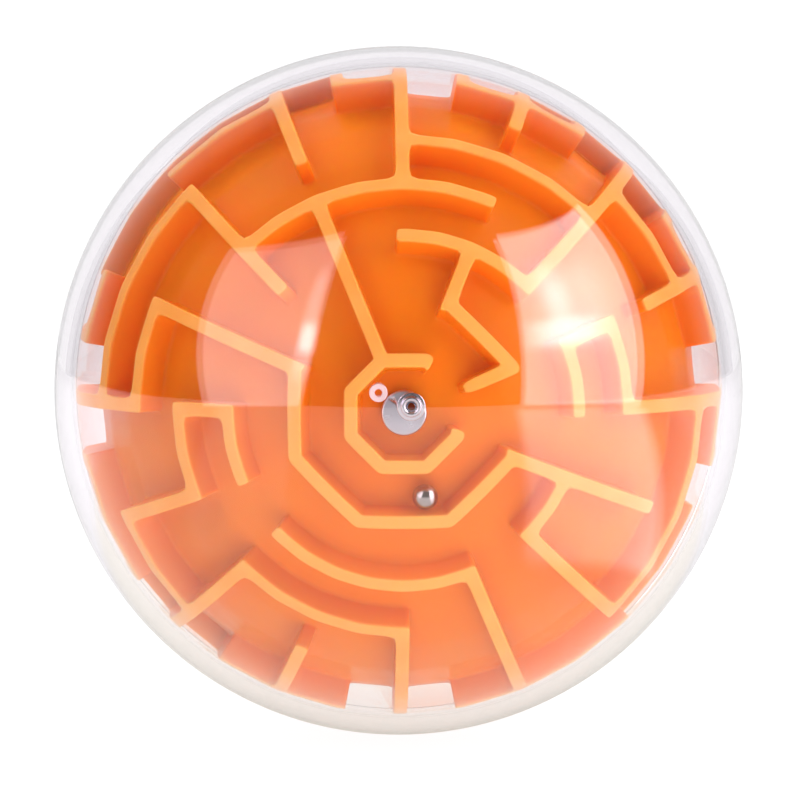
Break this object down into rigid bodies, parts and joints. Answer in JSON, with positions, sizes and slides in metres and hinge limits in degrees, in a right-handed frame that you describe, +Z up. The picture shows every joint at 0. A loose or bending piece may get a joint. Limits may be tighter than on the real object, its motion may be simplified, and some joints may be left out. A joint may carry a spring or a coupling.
{
  "type": "maze ball puzzle",
  "caption": "Clear hollow ball around a spherical plastic maze; a small loose steel ball rolls along the maze channels when the ball is tilted.",
  "frame": {"origin": "centre of the ball", "axes": "+Z up with the ball held as in use; the maze's pole axis along Y, front pole at -Y; +X to the right of someone who faces the front pole"},
  "size_m": [0.095, 0.095, 0.095],
  "materials": {
    "clear_plastic": "clear, polished",
    "clear_pin": "clear, moulded",
    "orange_plastic": "satin moulded",
    "bright_metal": "bright nickel plate",
    "ball_steel": "polished bearing steel"
  },
  "bodies": {
    "ball_case": {"front_shell": "clear_plastic", "rear_shell": "clear_plastic", "front_maze": "orange_plastic", "rear_maze": "orange_plastic", "front_pole_disc": "bright_metal", "rear_pole_disc": "bright_metal", "front_pole_rivet": "bright_metal", "rear_pole_rivet": "bright_metal", "front_locating_pin": "clear_pin", "rear_locating_pin": "clear_pin"},
    "rolling_ball": {"steel_ball": "ball_steel"}
  },
  "joints": [
    {"name": "ball_roll", "type": "hinge", "parent": "ball_case", "child": "rolling_ball", "pos_m": [0, 0, 0], "axis": [0, 1, 0], "range_deg": [-84, 157]}
  ]
}
